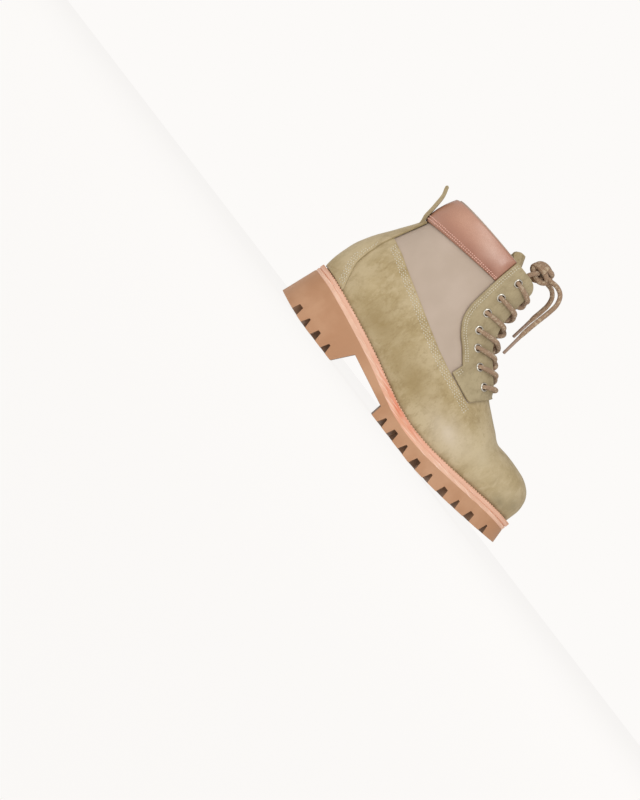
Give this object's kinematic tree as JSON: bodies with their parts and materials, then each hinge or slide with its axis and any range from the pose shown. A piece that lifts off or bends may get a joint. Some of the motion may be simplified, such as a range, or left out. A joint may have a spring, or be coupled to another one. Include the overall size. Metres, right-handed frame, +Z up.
{
  "type": "lace-up boot",
  "caption": "Ankle-high lace-up work boot with suede and nylon upper, padded collar, contrast welt, lugged heel and forefoot sole, laced front and pull tab.",
  "frame": {"origin": "on the floor, under the middle of the outsole's plan box", "axes": "+X to the toe, +Z up, the outer (lateral) side faces -Y"},
  "size_m": [0.305, 0.1099, 0.2134],
  "materials": {
    "rubber": "caramel moulded rubber, satin",
    "midsole": "pale pink sole strip, satin",
    "welt": "coral welt strip with stitched edge",
    "insole": "tan board and cover",
    "suede": "olive oiled suede with pale scuffs; quarters in greige nylon cloth",
    "collar": "rose-brown smooth leather, semi-gloss, padded",
    "eyelet": "nickel-plated, bright",
    "lace": "round braided cord, brown with pale flecks",
    "aglet": "clear film over the brown cord"
  },
  "bodies": {
    "root": {"outsole": "rubber", "midsole": "midsole", "welt": "welt", "insole": "insole", "upper": "suede", "tongue": "suede", "eyestay_lateral": "suede", "eyestay_medial": "suede", "backstay": "suede", "pull_tab": "suede", "collar": "collar", "eyelet_lateral_1": "eyelet", "eyelet_lateral_2": "eyelet", "eyelet_lateral_3": "eyelet", "eyelet_lateral_4": "eyelet", "eyelet_lateral_5": "eyelet", "eyelet_lateral_6": "eyelet", "eyelet_lateral_7": "eyelet", "eyelet_medial_1": "eyelet", "eyelet_medial_2": "eyelet", "eyelet_medial_3": "eyelet", "eyelet_medial_4": "eyelet", "eyelet_medial_5": "eyelet", "eyelet_medial_6": "eyelet", "eyelet_medial_7": "eyelet", "lace_cross_1": "lace", "lace_cross_2": "lace", "lace_cross_3": "lace", "lace_cross_4": "lace", "lace_cross_5": "lace", "lace_cross_6": "lace", "lace_bar": "lace", "lace_riser_lateral": "lace", "lace_riser_medial": "lace", "lace_knot": "lace", "lace_end_long": "lace", "lace_end_short": "lace", "aglet_long": "aglet", "aglet_short": "aglet"}
  },
  "joints": []
}
